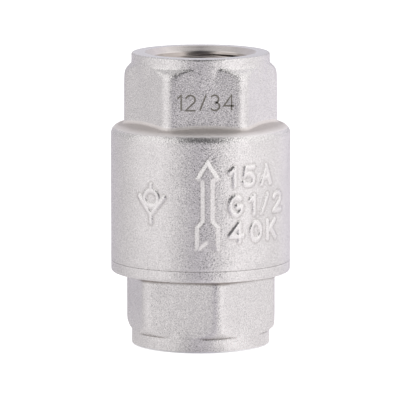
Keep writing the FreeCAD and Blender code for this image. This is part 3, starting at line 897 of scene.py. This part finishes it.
# ---------------------------------------------------------------- materials
class Paint(Wiring):
    """A node material under construction, with short calls for the patterns that it uses."""

    def __init__(self, name, colour, metallic, roughness):
        self.material = bpy.data.materials.new(name)
        self.material.use_nodes = True
        super().__init__(self.material.node_tree)
        self.shader = self.tree.nodes["Principled BSDF"]
        self.shader.inputs["Base Color"].default_value = (*colour, 1)
        self.shader.inputs["Metallic"].default_value = metallic
        self.shader.inputs["Roughness"].default_value = roughness
        self.place = self.add("ShaderNodeTexCoord").outputs["Object"]

    def noise(self, size, detail, rough, vector=None):
        """Noise whose features are about size millimetres across."""
        node = self.add("ShaderNodeTexNoise")
        self.feed(node.inputs["Vector"], vector or self.place)
        node.inputs["Scale"].default_value = 1 / (size * MM)
        node.inputs["Detail"].default_value = detail
        node.inputs["Roughness"].default_value = rough
        return node.outputs["Fac"]

    def dimples(self, size):
        """Rounded pits about size millimetres apart."""
        node = self.add("ShaderNodeTexVoronoi", feature="SMOOTH_F1")
        self.feed(node.inputs["Vector"], self.place)
        node.inputs["Scale"].default_value = 1 / (size * MM)
        node.inputs["Smoothness"].default_value = 0.6
        return node.outputs["Distance"]

    def between(self, fac, low, high):
        """A value from low to high for a noise, most of which lies from 0.3 to 0.7."""
        node = self.add("ShaderNodeMapRange")
        self.feed(node.inputs["Value"], fac)
        node.inputs["From Min"].default_value = 0.3
        node.inputs["From Max"].default_value = 0.7
        node.inputs["To Min"].default_value = low
        node.inputs["To Max"].default_value = high
        return node.outputs[0]

    def mix(self, fac, a, b):
        """A colour from a to b, each of which is a constant or another node's output."""
        a, b = ((*colour, 1) if isinstance(colour, tuple) else colour for colour in (a, b))
        return self.blend("MIX", a, b, fac)

    def bump(self, height, depth, before=None):
        """A bump whose full height is depth millimetres."""
        node = self.add("ShaderNodeBump")
        node.inputs["Strength"].default_value = 1.0
        node.inputs["Distance"].default_value = depth * MM
        self.feed(node.inputs["Height"], height)
        if before is not None:
            self.feed(node.inputs["Normal"], before)
        return node.outputs["Normal"]

    def jitter(self, size, amount, before):
        """Tilts the surface by up to about amount, in grains of about size millimetres."""
        node = self.add("ShaderNodeTexNoise")
        self.feed(node.inputs["Vector"], self.place)
        node.inputs["Scale"].default_value = 1 / (size * MM)
        node.inputs["Detail"].default_value = 1.0
        lean = self.add("ShaderNodeVectorMath", operation="MULTIPLY_ADD")
        self.feed(lean.inputs[0], node.outputs["Color"])
        lean.inputs[1].default_value = (2 * amount,) * 3
        lean.inputs[2].default_value = (-amount,) * 3
        total = self.add("ShaderNodeVectorMath", operation="ADD")
        self.feed(total.inputs[0], before)
        self.feed(total.inputs[1], lean.outputs[0])
        unit = self.add("ShaderNodeVectorMath", operation="NORMALIZE")
        self.feed(unit.inputs[0], total.outputs[0])
        return unit.outputs[0]

    def profile(self):
        """The point's radius and height about the valve's axis, as a vector."""
        split = self.add("ShaderNodeSeparateXYZ")
        self.feed(split.inputs[0], self.place)
        x, y, z = split.outputs
        r = self.math("SQRT", self.math("ADD", self.math("MULTIPLY", x, x), self.math("MULTIPLY", y, y)))
        join = self.add("ShaderNodeCombineXYZ")
        self.feed(join.inputs[0], r)
        self.feed(join.inputs[2], z)
        return join.outputs[0]

    def wear(self, base, normal, roughness):
        """The material, with its shader fed by the patterns that were made."""
        self.feed(self.shader.inputs["Base Color"], base)
        self.feed(self.shader.inputs["Normal"], normal)
        self.feed(self.shader.inputs["Roughness"], roughness)
        return self.material


def cast_steel(name, dark, light, low, high):
    """Investment-cast stainless steel, shot-blasted: a fine grain over a soft skin, with the glints of its
    blasted facets painted into its colour as a speckle.

    dark and light are the ends of that painted glint speckle, and low and high the roughness.
    """
    paint = Paint(name, light, 1.0, high)
    speckle = paint.noise(0.22, 1.0, 0.5)
    pits = paint.dimples(0.34)
    swell = paint.noise(2.5, 2.0, 0.5)
    cloud = paint.noise(5.0, 3.0, 0.6)
    normal = paint.bump(pits, 0.02)
    normal = paint.bump(swell, 0.04, normal)
    normal = paint.jitter(0.16, 0.4, normal)
    # the speckle from dark to light is painted glints, over a cloudy tone that varies at random
    tone = paint.math("ADD", paint.between(cloud, 0, 0.15), paint.between(speckle, 0, 0.85))
    # from the mesh: wear and painted highlight lighten the metal towards bright, painted shade darkens it
    wear_and_painted_light = paint.add("ShaderNodeAttribute", attribute_name="wear_and_painted_light").outputs["Fac"]
    painted_shade = paint.math("MULTIPLY", wear_and_painted_light, -1.0)
    bright, painted_shade_colour = (0.98, 0.965, 0.96), (0.27, 0.24, 0.22)
    colour = paint.mix(tone, dark, light)
    colour = paint.mix(paint.math("MAXIMUM", wear_and_painted_light, 0.0), colour, bright)
    colour = paint.mix(paint.math("MAXIMUM", painted_shade, 0.0), colour, painted_shade_colour)
    return paint.wear(colour, normal, paint.between(speckle, low, high))


def turned_steel(name, colour, line, depth, roughness):
    """Turned steel, with tool lines round the axis, about line millimetres apart and depth deep."""
    paint = Paint(name, colour, 1.0, roughness)
    lines = paint.noise(line, 2.0, 0.7, paint.profile())
    smudge = paint.noise(2.0, 3.0, 0.6)
    normal = paint.bump(lines, depth)
    shade = tuple(0.9 * c for c in colour)
    tone = paint.mix(paint.between(smudge, 0, 1), shade, colour)
    return paint.wear(tone, normal, paint.between(smudge, roughness - 0.05, roughness + 0.07))


def spring_steel():
    """Drawn wire and stamped clips: bright, with faint streaks and small scuffs."""
    paint = Paint("spring_steel", (0.62, 0.61, 0.60), 1.0, 0.28)
    streaks = paint.noise(0.25, 3.0, 0.7)
    scuffs = paint.noise(1.2, 4.0, 0.6)
    normal = paint.bump(streaks, 0.006)
    colour = paint.mix(paint.between(scuffs, 0, 1), (0.52, 0.51, 0.50), (0.68, 0.67, 0.65))
    return paint.wear(colour, normal, paint.between(scuffs, 0.2, 0.36))


def ptfe():
    """White PTFE: waxy, slightly mottled, faintly scored by the tool."""
    paint = Paint("ptfe", (0.86, 0.86, 0.84), 0.0, 0.42)
    mottle = paint.noise(1.5, 3.0, 0.6)
    lines = paint.noise(0.12, 2.0, 0.7, paint.profile())
    paint.shader.inputs["Subsurface Weight"].default_value = 0.15
    paint.shader.inputs["Subsurface Scale"].default_value = 0.001
    normal = paint.bump(lines, 0.012)
    colour = paint.mix(paint.between(mottle, 0, 1), (0.80, 0.80, 0.77), (0.90, 0.90, 0.88))
    return paint.wear(colour, normal, paint.between(mottle, 0.36, 0.5))


def etched():
    """The laser's mark: a brownish, matt oxide on the cast skin."""
    paint = Paint("etched_mark", (0.24, 0.23, 0.20), 0.85, 0.5)
    speckle = paint.noise(0.3, 3.0, 0.65)
    normal = paint.bump(speckle, 0.05)
    colour = paint.mix(paint.between(speckle, 0, 1), (0.20, 0.19, 0.165), (0.34, 0.325, 0.29))
    return paint.wear(colour, normal, paint.between(speckle, 0.42, 0.6))


def dress(nodes, material):
    """Gives carried-over CAD nodes a better material."""
    for name in nodes:
        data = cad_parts[name].data
        data.materials.clear()
        data.materials.append(material)


# ---------------------------------------------------------------- the valve
def build():
    """Puts the castings, the number and the spring on their bodies, and dresses the rest of the CAD."""
    cast = cast_steel("cast_stainless", (0.61, 0.60, 0.598), (0.945, 0.93, 0.925), 0.18, 0.28)
    face = turned_steel("turned_face", (0.84, 0.845, 0.86), 0.16, 0.006, 0.22)
    # the bore's warmer, darker tint is a painted reflection of its brownish inside
    mouth = turned_steel("turned_bore_painted_reflection", (0.78, 0.74, 0.72), 0.16, 0.02, 0.16)
    # the thread's dark brownish colour is painted shade inside the ports
    thread = turned_steel("cut_thread_painted_shade", (0.50, 0.455, 0.43), 0.10, 0.008, 0.17)
    # the ledge's copy of the cast steel is rougher, and lighter and warmer as painted light
    ledge = cast_steel("cast_ledge_painted_light", (0.79, 0.75, 0.725), (0.96, 0.92, 0.895), 0.5, 0.62)
    inner = turned_steel("turned_stainless", (0.72, 0.71, 0.70), 0.12, 0.008, 0.24)
    wire = spring_steel()
    white = ptfe()

    body = casting_body([cast, face, mouth, thread, ledge])
    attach(body, "valve_body")
    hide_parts("valve_body")
    cap = casting_cap([cast, face, mouth, thread])
    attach(cap, "inlet_cap")
    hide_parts("inlet_cap")
    number = batch_number(etched())
    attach(number, "valve_body")

    spring = coil_spring(wire)
    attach(spring, "valve_body")
    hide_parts("return_spring")
    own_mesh(spring)

    turned = ["poppet_disc", "poppet_stem", "seal_retainer", "retainer_nut", "stem_guide", "spring_washer"]
    dress(turned, inner)
    dress(["lock_washer", "stem_clip", "guide_circlip"], wire)
    dress(["cap_gasket", "seat_seal", "guide_bush"], white)


camera()
floor()
room()
softbox("key_right", (0.55, -0.25, 0.35), 0.6)
softbox("fill_left", (-0.6, -0.2, 0.3), 0.5)
bpy.context.scene.view_settings.view_transform = "Standard"
build()
